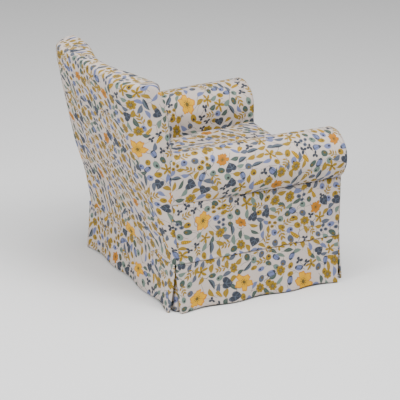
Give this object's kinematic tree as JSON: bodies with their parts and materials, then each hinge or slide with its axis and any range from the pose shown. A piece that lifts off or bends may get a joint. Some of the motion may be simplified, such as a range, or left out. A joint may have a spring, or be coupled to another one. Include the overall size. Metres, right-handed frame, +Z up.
{
  "type": "upholstered armchair",
  "caption": "Compact armchair with rolled arms, a curved raked back, a loose box seat cushion and a full-length skirt with corner pleats, covered in a scattered botanical print.",
  "frame": {"origin": "on the floor, under the middle of the bounding box", "axes": "+X to the sitter's left, -Y out of the front of the seat, +Z up"},
  "size_m": [0.861, 0.8409, 0.855],
  "materials": {
    "printed_linen": "woven cotton-linen with a scattered botanical print",
    "deck_cloth": "plain calico under the cushion",
    "foam": "open-cell upholstery foam",
    "beech": "planed, unfinished",
    "dark_leg_wood": "dark stain, satin",
    "glide_plastic": "moulded nylon",
    "spring_steel": "oiled spring wire",
    "webbing": "elastic webbing and zip tape",
    "black_cambric": "non-woven dust cover",
    "zip_metal": "satin"
  },
  "bodies": {
    "chair": {"arm_cover_left": "printed_linen", "arm_cover_right": "printed_linen", "arm_facing_left": "printed_linen", "arm_facing_right": "printed_linen", "outside_arm_panel_left": "printed_linen", "outside_arm_panel_right": "printed_linen", "outside_back_cover": "printed_linen", "inside_back_cover": "printed_linen", "front_border": "printed_linen", "skirt_front": "printed_linen", "skirt_back": "printed_linen", "skirt_left": "printed_linen", "skirt_right": "printed_linen", "pleat_gusset_front_left": "printed_linen", "pleat_gusset_front_right": "printed_linen", "pleat_gusset_rear_left": "printed_linen", "pleat_gusset_rear_right": "printed_linen", "seat_deck_cover": "deck_cloth", "seat_deck_pad": "foam", "front_edge_pad": "foam", "inside_back_pad": "foam", "arm_pad_left": "foam", "arm_pad_right": "foam", "front_seat_rail": "beech", "rear_seat_rail": "beech", "left_seat_rail": "beech", "right_seat_rail": "beech", "corner_block_front_left": "beech", "corner_block_front_right": "beech", "corner_block_rear_left": "beech", "corner_block_rear_right": "beech", "arm_front_board_left": "beech", "arm_front_board_right": "beech", "arm_top_rail_left": "beech", "arm_top_rail_right": "beech", "back_post_left": "beech", "back_post_right": "beech", "back_top_rail": "beech", "back_lower_rail": "beech", "leg_front_left": "dark_leg_wood", "leg_front_right": "dark_leg_wood", "leg_rear_left": "dark_leg_wood", "leg_rear_right": "dark_leg_wood", "leg_glide_front_left": "glide_plastic", "leg_glide_front_right": "glide_plastic", "leg_glide_rear_left": "glide_plastic", "leg_glide_rear_right": "glide_plastic", "seat_spring_1": "spring_steel", "seat_spring_2": "spring_steel", "seat_spring_3": "spring_steel", "seat_spring_4": "spring_steel", "back_webbing_lower": "webbing", "back_webbing_upper": "webbing", "dust_cover": "black_cambric"},
    "seat_cushion": {"seat_cushion_foam": "foam", "seat_cushion_cover": "printed_linen", "cushion_zip_tape": "webbing"},
    "zip_slider": {"cushion_zip_slider": "zip_metal"}
  },
  "joints": [
    {"name": "seat_cushion_lift", "type": "slide", "parent": "chair", "child": "seat_cushion", "axis": [0, 0, 1], "range_m": [0, 0.2]},
    {"name": "zip_slide", "type": "slide", "parent": "seat_cushion", "child": "zip_slider", "axis": [1, 0, 0], "range_m": [0, 0.33]}
  ]
}
